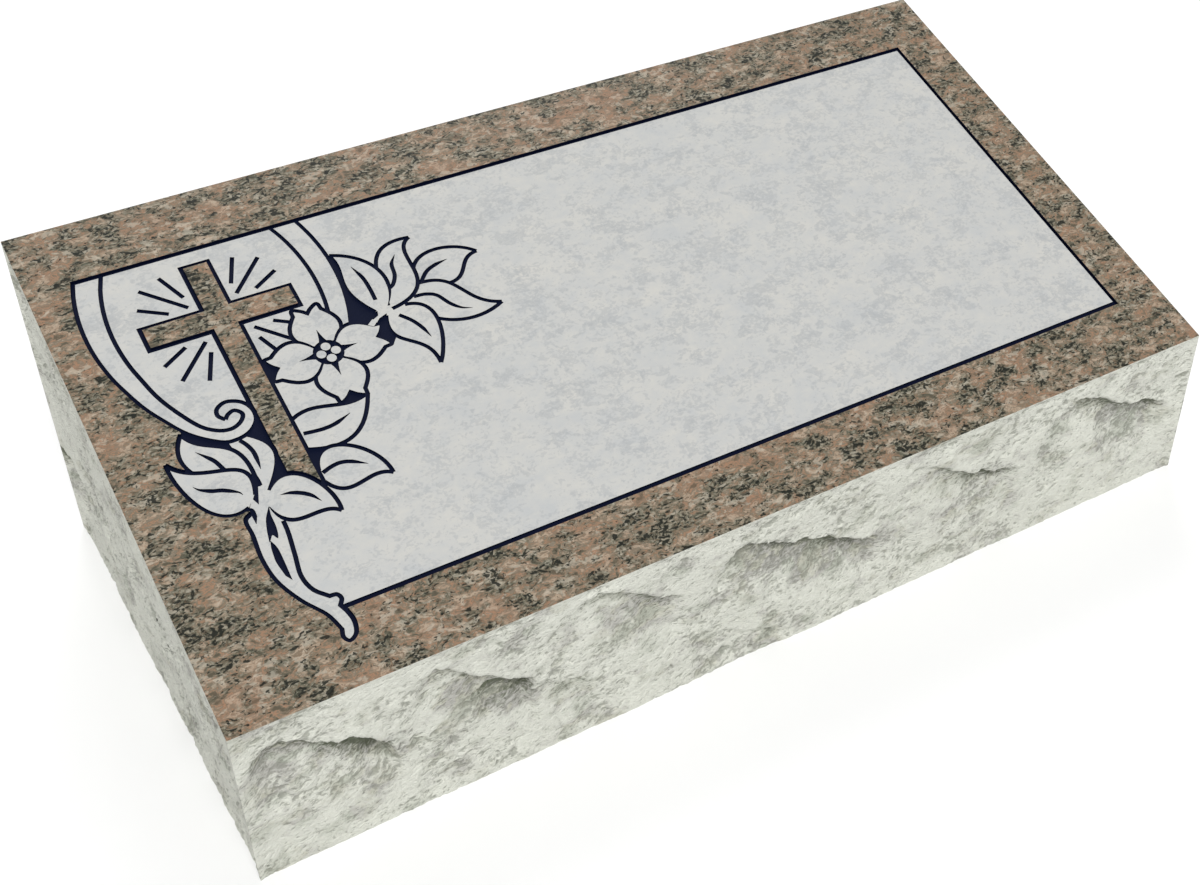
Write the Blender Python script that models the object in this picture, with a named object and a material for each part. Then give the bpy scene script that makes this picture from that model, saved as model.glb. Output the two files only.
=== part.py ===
"""Grave marker: one block of granite with a sloping face, rock-pitched sides and a carved panel.

Metres, +Z up. The origin is under the middle of the block, +X runs along its length and the low
front side faces -Y. The carving is drawn flat, in millimetres on the sloping face, as shapes that
lie over one another, and is then cut into the stone at two depths.
"""

import math

import bmesh
import bpy
from mathutils import Matrix, Vector, noise
from mathutils.geometry import delaunay_2d_cdt

# The block
LENGTH = 0.6096
DEPTH = 0.3048
BACK_HEIGHT = 0.2032
FRONT_HEIGHT = 0.1016

# The frosted panel's distance from each edge of the sloping face
MARGIN_LEFT = 0.0182
MARGIN_RIGHT = 0.0336
MARGIN_BOTTOM = 0.0415
MARGIN_TOP = 0.0411

# The carving
PANEL_RECESS = 0.0008
LINE_DEPTH = 0.0022
LINE_WIDTH = 0.0022
FLATNESS = 0.00016
CUT_CLEARANCE = 0.004

# The rock-pitched sides, which lie up to this far behind their flat planes
ROCK_DEPTH = 0.0085
ROCK_RUN = 0.0139
ROCK_RISE = 0.0088
SWELL = 0.003
SWELL_SIZE = 0.07
ROCK_MARGIN = 0.03
ARRIS = 0.005
ROCK_CORNER = 0.018
ROCK_FOOT = 0.012

# Ledges in the broken stone: start, peak and end of the upper edge, each along and up the side as
# shares of the block's length, and how deep the hollow under it is. The pattern repeats each length.
LEDGES = (
    ((-0.030, 0.120), (0.036, 0.136), (0.136, 0.087), 1.0),
    ((0.130, 0.110), (0.166, 0.146), (0.252, 0.090), 0.9),
    ((0.243, 0.118), (0.312, 0.155), (0.412, 0.104), 0.7),
    ((0.392, 0.098), (0.470, 0.135), (0.630, 0.080), 1.0),
    ((0.600, 0.132), (0.640, 0.142), (0.795, 0.088), 0.85),
    ((0.783, 0.112), (0.856, 0.138), (0.985, 0.092), 1.0),
    ((0.090, 0.042), (0.262, 0.080), (0.330, 0.052), 0.35),
    ((0.375, 0.010), (0.445, 0.042), (0.520, 0.012), 0.35),
)
LEDGE_HOLLOW = 0.0045
LEDGE_BACK = 0.050
UPPER_ROW = (0.37, 0.165, 0.5)
RIGHT_START, BACK_START, LEFT_START = 0.25, 0.45, -0.074

# The ornament is drawn in millimetres for a panel of this height, whose lowest left corner is here.
DRAWN_HEIGHT = 238.6
DRAWN_CORNER = Vector((18.2, 41.5))
CROSS_CENTRE = Vector((86.8, 230.1))
CROSS_ARM = 41.6
CROSS_HEAD = 39.7
CROSS_FOOT = 118.5
CROSS_HALF = 7.7
BLOSSOM_CENTRE = Vector((129.2, 186.9))
DISC_RADIUS = 8.3
SEED_RADIUS = 2.6
SEED_OFFSET = 4.1
STAR_REACH = 16.8
BAND_OUTER = Vector((68.4, 91.4))
BAND_INNER = Vector((55.7, 81.5))
BAND_OUTER_RISE = 11.9
BAND_INNER_RISE = 6.9
RAYS = (((13.2, 20.0), 67, 18.9), ((13.3, 12.5), 45, 28.2), ((24.0, 12.1), 30, 16.5))

POLISHED, FROSTED, LINE = range(3)

SLOPE = math.atan2(BACK_HEIGHT - FRONT_HEIGHT, DEPTH)
FACE_HEIGHT = math.hypot(DEPTH, BACK_HEIGHT - FRONT_HEIGHT)
PANEL_WIDTH = LENGTH - MARGIN_LEFT - MARGIN_RIGHT
PANEL_HEIGHT = FACE_HEIGHT - MARGIN_TOP - MARGIN_BOTTOM
DRAWN_SCALE = PANEL_HEIGHT / DRAWN_HEIGHT
PEN = LINE_WIDTH / DRAWN_SCALE
TOLERANCE = FLATNESS / DRAWN_SCALE


# Curves in the drawing

def bezier(start, first, second, end, steps=24):
    """Points along a cubic curve with two handles."""
    points = []
    for i in range(steps + 1):
        t = i / steps
        s = 1 - t
        points.append(start * s**3 + first * (3 * s * s * t) + second * (3 * s * t * t) + end * t**3)
    return points


def smooth(corners, steps=10):
    """Points along a curve that passes through every corner."""
    corners = [Vector(corner) for corner in corners]
    ends = [2 * corners[0] - corners[1]] + corners + [2 * corners[-1] - corners[-2]]
    points = [corners[0]]
    for before, a, b, after in zip(ends, ends[1:], ends[2:], ends[3:]):
        points += bezier(a, a + (b - before) / 6, b - (after - a) / 6, b, steps)[1:]
    return points


def arc(centre, radii, start, end, steps=24):
    """Points along an ellipse, from one angle to another, in degrees."""
    points = []
    for i in range(steps + 1):
        angle = math.radians(start + (end - start) * i / steps)
        points.append(centre + Vector((radii[0] * math.cos(angle), radii[1] * math.sin(angle))))
    return points


def thinned(points):
    """The points without those that lie within the tolerance of a straight step."""
    first, last = points[0], points[-1]
    chord = last - first
    length = chord.length
    worst, place = 0, 0
    for i in range(1, len(points) - 1):
        offset = points[i] - first
        away = abs(chord.cross(offset)) / length if length > TOLERANCE else offset.length
        if away > worst:
            worst, place = away, i
    if worst <= TOLERANCE:
        return [first, last]
    return thinned(points[:place + 1])[:-1] + thinned(points[place:])


def mirrored(points):
    """The points mirrored in the X axis, in the opposite order."""
    return [Vector((point.x, -point.y)) for point in reversed(points)]


def placed(points, centre, degrees):
    """The points turned about the drawing's origin and then moved to the centre."""
    turn = Matrix.Rotation(math.radians(degrees), 2)
    return [centre + turn @ point for point in points]


# Laying shapes over one another

def lay(drawing, kind, outline):
    """Lays a filled outline over what is drawn so far."""
    area = sum(a.cross(b) for a, b in zip(outline, outline[1:] + outline[:1]))
    drawing.append((kind, outline if area > 0 else outline[::-1]))


def lay_fill(drawing, kind, curve):
    lay(drawing, kind, thinned(curve))


def lay_line(drawing, curve, start_width=1.0, end_width=1.0):
    """Lays a carved line along a curve. The widths at its ends are shares of the pen's."""
    points = thinned(curve)
    runs = [(b - a).length for a, b in zip(points, points[1:])]
    total, done = sum(runs), 0
    sides = []
    for i, point in enumerate(points):
        ahead = (points[min(i + 1, len(points) - 1)] - point).normalized()
        behind = (point - points[max(i - 1, 0)]).normalized()
        along = (ahead + behind).normalized()
        square = Vector((-along.y, along.x))
        share = done / total
        width = PEN * min(1, start_width + 3 * share, end_width + 3 * (1 - share))
        reach = width / 2 / max(0.6, abs(along.dot(ahead if ahead.length else behind)))
        sides.append((point + square * reach, point - square * reach))
        done += runs[i] if i < len(runs) else 0
    for (left, right), (next_left, next_right) in zip(sides, sides[1:]):
        lay(drawing, LINE, [right, next_right, next_left, left])


# The parts of the ornament

def leaf(drawing, base, tip, left, right, vein, vein_ends=(1, 0.1), pens=(1, 1)):
    """A leaf between two edges, each given by its start and its two handles, and a vein given by
    places that it passes, all as shares of the leaf's length along and across it."""
    base, tip = Vector(base), Vector(tip)
    along = tip - base
    across = Vector((-along.y, along.x))
    edges = []
    for shares in (left, right):
        start, first, second = (base + along * a + across * b for a, b in shares)
        edges.append(bezier(start, first, second, tip))
    lay_fill(drawing, FROSTED, edges[0] + edges[1][::-1][1:])
    for edge, pen in zip(edges, pens):
        lay_line(drawing, edge, pen)
    lay_line(drawing, smooth([base + along * a + across * b for a, b in vein]), *vein_ends)


def rays(drawing):
    """Three rays in each quarter round the cross: where each starts, its slant and its length."""
    for start, degrees, length in RAYS:
        slant = Vector((math.cos(math.radians(degrees)), math.sin(math.radians(degrees))))
        for ends in ((1, 1), (1, -1), (-1, 1), (-1, -1)):
            near = CROSS_CENTRE + Vector(start) * Vector(ends)
            lay_line(drawing, [near, near + slant * Vector(ends) * length])


def cross(drawing):
    """A polished cross with a line round it."""
    side, arm, head, foot = CROSS_HALF, CROSS_ARM, CROSS_HEAD, CROSS_FOOT
    half = [(side, -foot), (side, -side), (arm, -side), (arm, side), (side, side), (side, head)]
    corners = [CROSS_CENTRE + Vector(corner) for corner in half]
    corners += [CROSS_CENTRE + Vector((-x, y)) for x, y in reversed(half)]
    lay(drawing, POLISHED, corners)
    corner_reach = PEN / 2
    for a, b in zip(corners, corners[1:] + corners[:1]):
        beyond = (b - a).normalized() * corner_reach
        lay_line(drawing, [a - beyond, b + beyond])


def petal():
    """Half a petal pointing along +X, from the disc round the belly and over the lobe to the notch."""
    belly = bezier(Vector((5.6, 5.2)), Vector((15.2, 20.6)), Vector((25.0, 11.2)), Vector((29.2, 8.0)))
    lobe = smooth([(29.2, 8.0), (32.7, 7.6), (33.2, 6.0), (31.0, 2.4), (28.6, 0)])
    return belly + lobe[1:]


def blossom(drawing):
    """Four notched petals round a dark disc with four seeds and a four-pointed star."""
    half = petal()
    for quarter in (90, 0, 270, 180):
        outline = placed(half + mirrored(half)[1:], BLOSSOM_CENTRE, quarter)
        lay_fill(drawing, FROSTED, outline)
        lay_line(drawing, outline, 0.5, 0.5)
    lay_fill(drawing, LINE, arc(BLOSSOM_CENTRE, (DISC_RADIUS, DISC_RADIUS), 0, 360)[:-1])
    spike = bezier(Vector((5.5, 3.4)), Vector((8, 1.6)), Vector((12, 0.7)), Vector((STAR_REACH, 0)))
    for quarter in range(0, 360, 90):
        lay_fill(drawing, LINE, placed(spike + mirrored(spike)[1:], BLOSSOM_CENTRE, quarter))
    for quarter in range(0, 360, 90):
        seed = BLOSSOM_CENTRE + placed([Vector((SEED_OFFSET, 0))], Vector((0, 0)), quarter)[0]
        lay_fill(drawing, FROSTED, arc(seed, (SEED_RADIUS, SEED_RADIUS), 0, 360, 12)[:-1])


def band_arc(radii, rise, start, end, steps):
    """Part of one of the band's two ovals, whose middles stand above the cross's."""
    return arc(CROSS_CENTRE + Vector((0, rise)), radii, start, end, steps)


def band(drawing):
    """The scroll's two long lines, down to the curl where they meet."""
    outer = band_arc(BAND_OUTER, BAND_OUTER_RISE, 155.3, 206, 7)
    outer += [(29.7, 190), (34.9, 180), (44.4, 165.2), (57, 154.6), (65, 152.8), (73, 155), (78.4, 160.8)]
    outer += [(79, 168), (75.6, 174), (68.8, 177), (63.2, 174.8), (61.7, 170.4), (64.4, 166.6)]
    inner = band_arc(BAND_INNER, BAND_INNER_RISE, 147.9, 200, 6)
    inner += [(39.7, 190), (49.7, 170), (57.2, 162.4), (64.5, 160), (70.6, 162.2)]
    inner += [(73.5, 166.6), (70.6, 170.3), (66.8, 169.2), (64.4, 166.6)]
    outer, inner = smooth(outer, 8), smooth(inner, 8)
    lay_fill(drawing, FROSTED, outer + inner[::-1][1:])
    lay_line(drawing, outer)
    lay_line(drawing, inner)


def band_beyond(drawing):
    """The band's other side, which runs down behind the blossom."""
    lay_line(drawing, band_arc(BAND_OUTER, BAND_OUTER_RISE, 24.5, -29, 24))
    lay_line(drawing, band_arc(BAND_INNER, BAND_INNER_RISE, 31.8, -25, 24))


def lay_ground(drawing, corners):
    """Lays a patch of the dark ground, which what lies over it trims."""
    lay(drawing, LINE, [Vector(corner) for corner in corners])


def foot_leaves(drawing):
    """Two leaves that come out from behind the cross."""
    lay_ground(drawing, ((94.6, 134), (108, 130), (99, 128), (94.6, 119)))
    leaf(drawing, (94.7, 143.5), (137.2, 154.5),
         ((0.06, 0.22), (0.45, 0.32), (0.60, -0.08)), ((-0.06, -0.225), (0.38, -0.55), (0.68, -0.41)),
         ((0.04, -0.02), (0.16, -0.07), (0.28, -0.11), (0.43, -0.13), (0.65, -0.11)))
    leaf(drawing, (94.7, 115.5), (128.5, 103.2),
         ((-0.03, 0.09), (-0.16, 0.77), (0.81, 0.56)), ((0.04, -0.10), (0.44, -0.48), (0.62, 0.12)),
         ((0.02, 0.05), (0.13, 0.14), (0.27, 0.21), (0.43, 0.22), (0.66, 0.17)))


def scroll_leaves(drawing):
    """The leaves tucked under the scroll, with the dark ground between them and the cross."""
    lay_ground(drawing, ((41, 168.5), (50, 159.5), (65, 152.9), (79, 162), (79.1, 121), (70, 117), (66, 130),
                         (55, 150), (41.5, 162)))
    stem_head = ((55.4, 109.4), (58, 110), (66, 112), (68.2, 117.7), (65.5, 122.5), (61.5, 122),
                 (60.5, 118.2), (55.6, 112.2))
    lay(drawing, FROSTED, [Vector(corner) for corner in stem_head])
    leaf(drawing, (67, 120), (61.2, 160),
         ((0.06, 0.04), (0.35, -0.04), (0.82, 0.18)), ((-0.06, -0.02), (0.34, -0.45), (0.55, -0.55)),
         ((0.78, -0.09), (0.67, -0.13), (0.54, -0.145), (0.39, -0.12), (0.27, -0.09)))
    leaf(drawing, (62, 122), (40.8, 166.2),
         ((0.00, 0.09), (0.36, 0.23), (0.77, 0.45)), ((-0.02, -0.04), (0.63, -0.47), (0.60, 0.05)),
         ((0.38, 0.03), (0.52, 0.015), (0.63, 0.035), (0.74, 0.06)))


def left_leaf(drawing):
    leaf(drawing, (58, 115), (27.6, 151.6),
         ((-0.01, 0.08), (0.12, 0.53), (0.78, 0.22)), ((0.01, -0.09), (0.34, -0.63), (0.51, 0.09)),
         ((0.12, -0.03), (0.18, -0.04), (0.33, 0.01), (0.42, 0.065), (0.54, 0.11), (0.62, 0.11)), (0.1, 0.1))


def branch(drawing):
    """The bare stem, its thorns and curled foot, the leaf across the cross's foot, and the dark gaps."""
    left = smooth([(55, 108.6), (50.9, 105.4), (50.9, 96), (49.8, 82), (51.6, 67.5), (57.8, 53.3),
                   (65.8, 41.2), (69, 31)])
    toe = smooth([(69, 31), (68, 26.8), (70.2, 23.8), (74.4, 26.6), (76.1, 33), (75.2, 39), (73.6, 43.4)])
    thorn = smooth([(73.6, 43.4), (75.6, 46.6), (74.4, 49.6), (71, 50.1)])
    right = smooth([(71, 50.1), (65.2, 56.8), (63.1, 66), (65, 78), (67, 91), (67.4, 98.5)])
    outline = left + toe[1:] + thorn[1:] + right[1:]
    lay_fill(drawing, FROSTED, outline + [Vector((66, 112)), Vector((58, 114))])
    lay_line(drawing, outline)
    leaf(drawing, (66.2, 113.2), (95.75, 92.6),
         ((-0.02, 0.13), (0.03, 0.78), (0.84, 0.39)), ((0.03, -0.13), (0.48, -0.57), (0.64, 0.09)),
         ((0.13, 0.09), (0.26, 0.15), (0.42, 0.175), (0.56, 0.16), (0.70, 0.10)), (0.1, 0.1), (0.2, 0.2))
    lay_line(drawing, smooth([(53.2, 111.4), (55.8, 110.2), (55.9, 106.5), (55, 102)]), 1, 0.1)
    wedge = smooth([(65, 130.6), (64.8, 125), (62.8, 119), (60.3, 112)])
    wedge += smooth([(58.8, 116), (61.4, 120.4), (61.6, 127)])
    lay_fill(drawing, LINE, wedge)
    fork = smooth([(64.3, 109.4), (60.3, 103), (58, 96), (56.6, 89.5)])
    fork += smooth([(57.9, 90.8), (59.6, 92.8), (61.4, 90.2), (63, 96), (63.3, 104)])
    lay_fill(drawing, LINE, fork)
    slot = smooth([(57.4, 90.6), (59.1, 85), (59.1, 77), (58.6, 65.4)])
    slot += smooth([(56.5, 69), (55.3, 78), (56.1, 86)])
    lay_fill(drawing, LINE, slot)


def blossom_ground(drawing):
    """The dark ground round the blossom: beside the band, at the spray, at the cross and below."""
    lay_ground(drawing, ((154.7, 249.5), (155, 240), (154.2, 226), (152.2, 213), (149, 202), (150, 197),
                         (156.4, 196.8), (163.6, 200), (164.6, 203.5), (158, 214), (155.8, 228), (158, 242)))
    lay_ground(drawing, ((168.4, 199.8), (163.3, 198), (158, 193), (158, 181), (163.4, 179.2), (166.6, 183),
                         (164.8, 190), (167.4, 197)))
    lay_ground(drawing, ((94.6, 195), (99, 195), (102, 187), (99, 180), (94.6, 180)))
    lay_ground(drawing, ((121.5, 153.4), (122.5, 157), (136.5, 157), (137, 154), (130, 152.4)))


def spray(drawing):
    """Five leaves beyond the blossom, back to front, and the stalk that brings them to it."""
    stalk = ((155.7, 196), (158.3, 193.9), (161.8, 196.8), (159.5, 198.8))
    lay(drawing, FROSTED, [Vector(corner) for corner in stalk])
    leaf(drawing, (193.5, 212), (233.9, 222.4),
         ((0.00, 0.04), (0.13, 0.58), (0.81, 0.40)), ((0.01, -0.04), (0.66, -0.53), (0.60, 0.08)),
         ((0.04, 0.01), (0.22, 0.115), (0.39, 0.14), (0.58, 0.125)))
    leaf(drawing, (186.5, 207.4), (230.6, 183.6),
         ((0.05, 0.15), (0.51, 0.41), (0.55, -0.08)), ((-0.05, -0.15), (0.30, -0.44), (0.75, -0.35)),
         ((0.03, -0.04), (0.15, 0.01), (0.28, 0.01), (0.43, -0.09), (0.56, -0.135), (0.68, -0.125)))
    leaf(drawing, (173.4, 200), (181.1, 157.8),
         ((-0.01, 0.16), (0.13, 0.66), (0.79, 0.24)), ((0.01, -0.14), (0.51, -0.46), (0.47, 0.15)),
         ((0.09, 0), (0.25, 0.085), (0.42, 0.13), (0.60, 0.14)))
    leaf(drawing, (172.4, 203), (202.8, 245.8),
         ((0.01, 0.03), (0.38, 0.20), (0.75, 0.50)), ((-0.02, -0.02), (0.49, -0.55), (0.69, 0.19)),
         ((0.25, 0.06), (0.32, 0.035), (0.44, 0.045), (0.58, 0.105), (0.72, 0.10)))
    leaf(drawing, (167.5, 203.5), (156.2, 249.3),
         ((0.01, 0.09), (0.60, 0.30), (0.63, -0.02)), ((0.00, -0.08), (0.28, -0.46), (0.76, -0.39)),
         ((0.15, -0.02), (0.30, -0.066), (0.50, -0.107), (0.72, -0.10)), pens=(1, 0.1))


def drawn_panel():
    """The whole drawing, from the panel up, as (kind, outline) pairs in drawn millimetres."""
    left, bottom = DRAWN_CORNER
    right = left + PANEL_WIDTH / DRAWN_SCALE
    top = bottom + DRAWN_HEIGHT
    drawing = []
    oval = band_arc(BAND_OUTER, BAND_OUTER_RISE, 155.3, 216, 8)
    hidden = [(44.4, 165.2), (62, 156), (70, 130), (62, 110), (58, 80), (70, bottom)]
    field = [Vector((right, bottom)), Vector((right, top))] + oval + [Vector(p) for p in hidden]
    lay(drawing, FROSTED, field)
    rays(drawing)
    band_beyond(drawing)
    foot_leaves(drawing)
    cross(drawing)
    scroll_leaves(drawing)
    band(drawing)
    left_leaf(drawing)
    branch(drawing)
    blossom_ground(drawing)
    blossom(drawing)
    spray(drawing)
    reach = PEN / 2
    lay_line(drawing, [Vector((oval[0].x - reach, top)), Vector((right + reach, top))])
    lay_line(drawing, [Vector((right, top)), Vector((right, bottom))])
    lay_line(drawing, [Vector((right + reach, bottom)), Vector((74.2, bottom))])
    return drawing


# From the drawing to the stone

def region(drawing, wanted):
    """The triangles of the drawing whose topmost shape is of a wanted kind, as a flat mesh."""
    corners, outlines = [], []
    for _, outline in drawing:
        outlines.append(list(range(len(corners), len(corners) + len(outline))))
        corners += outline
    points, _, triangles, _, _, covers = delaunay_2d_cdt(corners, [], outlines, 1, TOLERANCE / 20)
    sheet = bmesh.new()
    made = {}
    for triangle, cover in zip(triangles, covers):
        if not cover or drawing[max(cover)][0] not in wanted:
            continue
        for i in triangle:
            if i not in made:
                place = (points[i] - DRAWN_CORNER) * DRAWN_SCALE
                made[i] = sheet.verts.new((place.x + MARGIN_LEFT, place.y + MARGIN_BOTTOM, 0))
        sheet.faces.new([made[i] for i in triangle])
    return sheet


def cutter(name, sheet, depth, collection):
    """A prism of the sheet's outline that reaches this deep below the sloping face."""
    flat = sheet.faces[:]
    raised = bmesh.ops.extrude_face_region(sheet, geom=flat)["geom"]
    top = [item for item in raised if isinstance(item, bmesh.types.BMVert)]
    bmesh.ops.translate(sheet, verts=top, vec=(0, 0, depth + CUT_CLEARANCE))
    bmesh.ops.translate(sheet, verts=sheet.verts[:], vec=(0, 0, -depth))
    bmesh.ops.recalc_face_normals(sheet, faces=sheet.faces[:])
    mesh = bpy.data.meshes.new(name)
    sheet.to_mesh(mesh)
    sheet.free()
    made = bpy.data.objects.new(name, mesh)
    made.location = (-LENGTH / 2, -DEPTH / 2, FRONT_HEIGHT)
    made.rotation_euler = (SLOPE, 0, 0)
    made.hide_render = True
    made.display_type = "WIRE"
    collection.objects.link(made)
    return made


def ease(value):
    """0 below 0, 1 above 1 and a smooth rise between."""
    value = min(1, max(0, value))
    return value * value * (3 - 2 * value)


def ledge_hollow(run, up, top):
    """How hollow the stone is at this place, from 0 to about 1, for the ledges below the side's top."""
    hollow = 0
    for start, peak, end, depth in LEDGES:
        along = (run - start[0]) % 1 + start[0]
        if along >= end[0]:
            continue
        if along < peak[0]:
            edge = start[1] + (peak[1] - start[1]) * ease((along - start[0]) / (peak[0] - start[0]))
        else:
            beyond = (along - peak[0]) / (end[0] - peak[0])
            edge = peak[1] + (end[1] - peak[1]) * (0.6 * beyond + 0.4 * ease(beyond))
        below = (edge - up) * LENGTH
        if below > 0:
            passed = (along - start[0]) / (end[0] - start[0])
            width = ease(passed / 0.35) * ease((1 - passed) / 0.16) * (0.45 + 0.55 * passed)
            scoop = (1 - math.exp(-below / LEDGE_HOLLOW)) * (1 - ease(below / LEDGE_BACK))
            hollow += depth * width * scoop * ease((top - edge) / 0.012)
    return hollow


def rock_depth(place, run, top, from_corner):
    """How far the broken side lies behind its flat plane. The place is the point on that plane, the
    run is how far along it the point lies, as a share of the length, and the top is the side's height."""
    up = place.z / LENGTH
    top /= LENGTH
    shift, rise, share = UPPER_ROW
    hollow = ledge_hollow(run, up, top) + share * ledge_hollow(run + shift, up - rise, top - rise)
    below_top = (top - up) * LENGTH
    ledges = ROCK_DEPTH * hollow * ease(below_top / ARRIS)
    swell = SWELL * (0.5 + 0.5 * noise.noise(place / SWELL_SIZE)) * ease(below_top / ROCK_MARGIN)
    edges = (0.35 + 0.65 * ease(place.z / ROCK_FOOT)) * ease(from_corner / ROCK_CORNER)
    return (ledges + swell) * edges


def block_mesh():
    """The block: a box cut into a grid, leaned to its two heights, with its four sides broken."""
    block = bmesh.new()
    bmesh.ops.create_cube(block, size=1)
    mean_height = (BACK_HEIGHT + FRONT_HEIGHT) / 2
    for axis, (size, step) in enumerate(((LENGTH, ROCK_RUN), (DEPTH, ROCK_RUN), (mean_height, ROCK_RISE))):
        steps = max(2, round(size / step))
        square = Vector(1 if i == axis else 0 for i in range(3))
        for i in range(1, steps):
            everything = block.verts[:] + block.edges[:] + block.faces[:]
            where = square * (i / steps - 0.5)
            bmesh.ops.bisect_plane(block, geom=everything, plane_co=where, plane_no=square)
    for end in (1, -1):
        flat = [face for face in block.faces if face.normal.z * end > 0.5]
        bmesh.ops.dissolve_faces(block, faces=flat, use_verts=False)
    for vert in block.verts:
        across, back, up = vert.co
        height = FRONT_HEIGHT + (BACK_HEIGHT - FRONT_HEIGHT) * (back + 0.5)
        place = Vector((across * LENGTH, back * DEPTH, (up + 0.5) * height))
        vert.co = place
        on_end = 0.5 - abs(across) < 1e-4
        on_side = 0.5 - abs(back) < 1e-4
        if on_end and not on_side:
            facing = math.copysign(1, across)
            start = RIGHT_START if facing > 0 else LEFT_START
            run = start + (0.5 + facing * back) * DEPTH / LENGTH
            vert.co.x -= facing * rock_depth(place, run, height, DEPTH * (0.5 - abs(back)))
        elif on_side and not on_end:
            facing = math.copysign(1, back)
            start = BACK_START if facing > 0 else 0
            run = start + 0.5 - facing * across
            vert.co.y -= facing * rock_depth(place, run, height, LENGTH * (0.5 - abs(across)))
    mesh = bpy.data.meshes.new("granite_marker")
    block.to_mesh(mesh)
    block.free()
    return mesh


def granite():
    """Grey-brown granite, as the polished face shows it."""
    material = bpy.data.materials.new("granite")
    material.use_nodes = True
    shader = material.node_tree.nodes["Principled BSDF"]
    shader.inputs["Base Color"].default_value = (0.30, 0.22, 0.17, 1)
    shader.inputs["Roughness"].default_value = 0.35
    shader.inputs["Metallic"].default_value = 0
    return material


def main():
    for old in list(bpy.data.objects):
        bpy.data.objects.remove(old, do_unlink=True)
    parts = bpy.data.collections.new("grave_marker")
    cutters = bpy.data.collections.new("cutters")
    bpy.context.scene.collection.children.link(parts)
    bpy.context.scene.collection.children.link(cutters)

    marker = bpy.data.objects.new("granite_marker", block_mesh())
    marker.data.materials.append(granite())
    parts.objects.link(marker)

    drawing = drawn_panel()
    fills = [shape for shape in drawing if shape[0] != LINE]
    cuts = (
        ("panel_cutter", region(fills, {FROSTED}), PANEL_RECESS),
        ("line_cutter", region(drawing, {LINE}), LINE_DEPTH),
    )
    for name, sheet, depth in cuts:
        cut = marker.modifiers.new(name, "BOOLEAN")
        cut.operation = "DIFFERENCE"
        cut.object = cutter(name, sheet, depth, cutters)


main()
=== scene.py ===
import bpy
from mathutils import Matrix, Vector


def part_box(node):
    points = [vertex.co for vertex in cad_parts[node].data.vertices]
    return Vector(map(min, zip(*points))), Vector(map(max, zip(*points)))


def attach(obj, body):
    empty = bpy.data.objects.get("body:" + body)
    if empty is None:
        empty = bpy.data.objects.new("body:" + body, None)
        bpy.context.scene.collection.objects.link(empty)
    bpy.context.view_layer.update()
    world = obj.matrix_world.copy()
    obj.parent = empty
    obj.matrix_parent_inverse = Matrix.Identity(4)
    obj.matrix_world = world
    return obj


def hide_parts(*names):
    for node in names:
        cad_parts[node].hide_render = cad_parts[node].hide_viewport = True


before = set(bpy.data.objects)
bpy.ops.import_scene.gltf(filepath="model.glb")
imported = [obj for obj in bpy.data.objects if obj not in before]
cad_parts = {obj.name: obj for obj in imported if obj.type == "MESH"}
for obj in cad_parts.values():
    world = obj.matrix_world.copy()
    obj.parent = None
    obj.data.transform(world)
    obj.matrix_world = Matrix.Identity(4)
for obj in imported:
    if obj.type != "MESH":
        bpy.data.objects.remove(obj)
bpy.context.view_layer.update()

import math

import bpy
from mathutils import Matrix, Vector, noise
from mathutils.geometry import delaunay_2d_cdt

lowCorner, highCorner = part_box("granite_marker")
solidPoints = [vert.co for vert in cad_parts["granite_marker"].data.vertices]
length = highCorner.x - lowCorner.x
depth = highCorner.y - lowCorner.y
backHeight = highCorner.z
frontBand = 0.0005  # points this near the front, in metres, count as its edge
frontHeight = max(point.z for point in solidPoints if point.y < lowCorner.y + frontBand)
slope = math.atan2(backHeight - frontHeight, depth)
faceHeight = math.hypot(backHeight - frontHeight, depth)
print(f"stone {length:.4f} x {depth:.4f} m, {frontHeight:.4f} m at the front, "
      f"{backHeight:.4f} m at the back")

polished, frosted, painted, broken = range(4)  # how a face of the stone is finished

# the carving: margins of the panel on the sloping face, depths and widths in metres, and shares
carving = {
    "marginLeft": 0.0182,
    "marginRight": 0.0336,
    "marginBottom": 0.0415,
    "marginTop": 0.0411,
    "panelRecess": 0.0008,
    "lineDepth": 0.0022,
    "lineWidth": 0.0024,
    "nearLineShare": 1.25,
    "topLineShare": 0.92,
    "rightLineShare": 0.75,
    "taper": 3,  # pens of width that a pointed line gains over its whole length
    "sharpestMitre": 0.6,  # keeps sharp bends from spiking
    "flatness": 0.00005,
}

# the ornament, in drawn millimetres on a panel of this height
ornament = {
    "drawnHeight": 238.6,
    "corner": Vector((18.2, 41.5)),
    "crossCentre": Vector((86.8, 230.1)),
    "crossArm": 41.6,
    "crossHead": 39.7,
    "crossFoot": 118.5,
    "crossHalf": 7.7,
    "rays": (((13.2, 20.0), 67, 18.9), ((13.3, 12.5), 45, 28.2), ((24.0, 12.1), 30, 16.5)),
    "blossomCentre": Vector((129.2, 186.9)),
    "discRadius": 8.3,
    "seedRadius": 2.6,
    "seedOffset": 4.1,
    "starReach": 16.8,
    "bandOuter": (Vector((68.4, 91.4)), 11.9),
    "bandInner": (Vector((55.7, 81.5)), 6.9),
    "nearLineStart": 74.2,
}

panelWidth = length - carving["marginLeft"] - carving["marginRight"]
panelHeight = faceHeight - carving["marginTop"] - carving["marginBottom"]
drawnScale = panelHeight / ornament["drawnHeight"]
pen = carving["lineWidth"] / drawnScale
tolerance = carving["flatness"] / drawnScale
crossCentre = ornament["crossCentre"]


def bezier(start, first, second, end, steps=32):
    points = []
    for i in range(steps + 1):
        t = i / steps
        s = 1 - t
        points.append(start * s**3 + first * (3 * s * s * t)
                      + second * (3 * s * t * t) + end * t**3)
    return points


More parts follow.
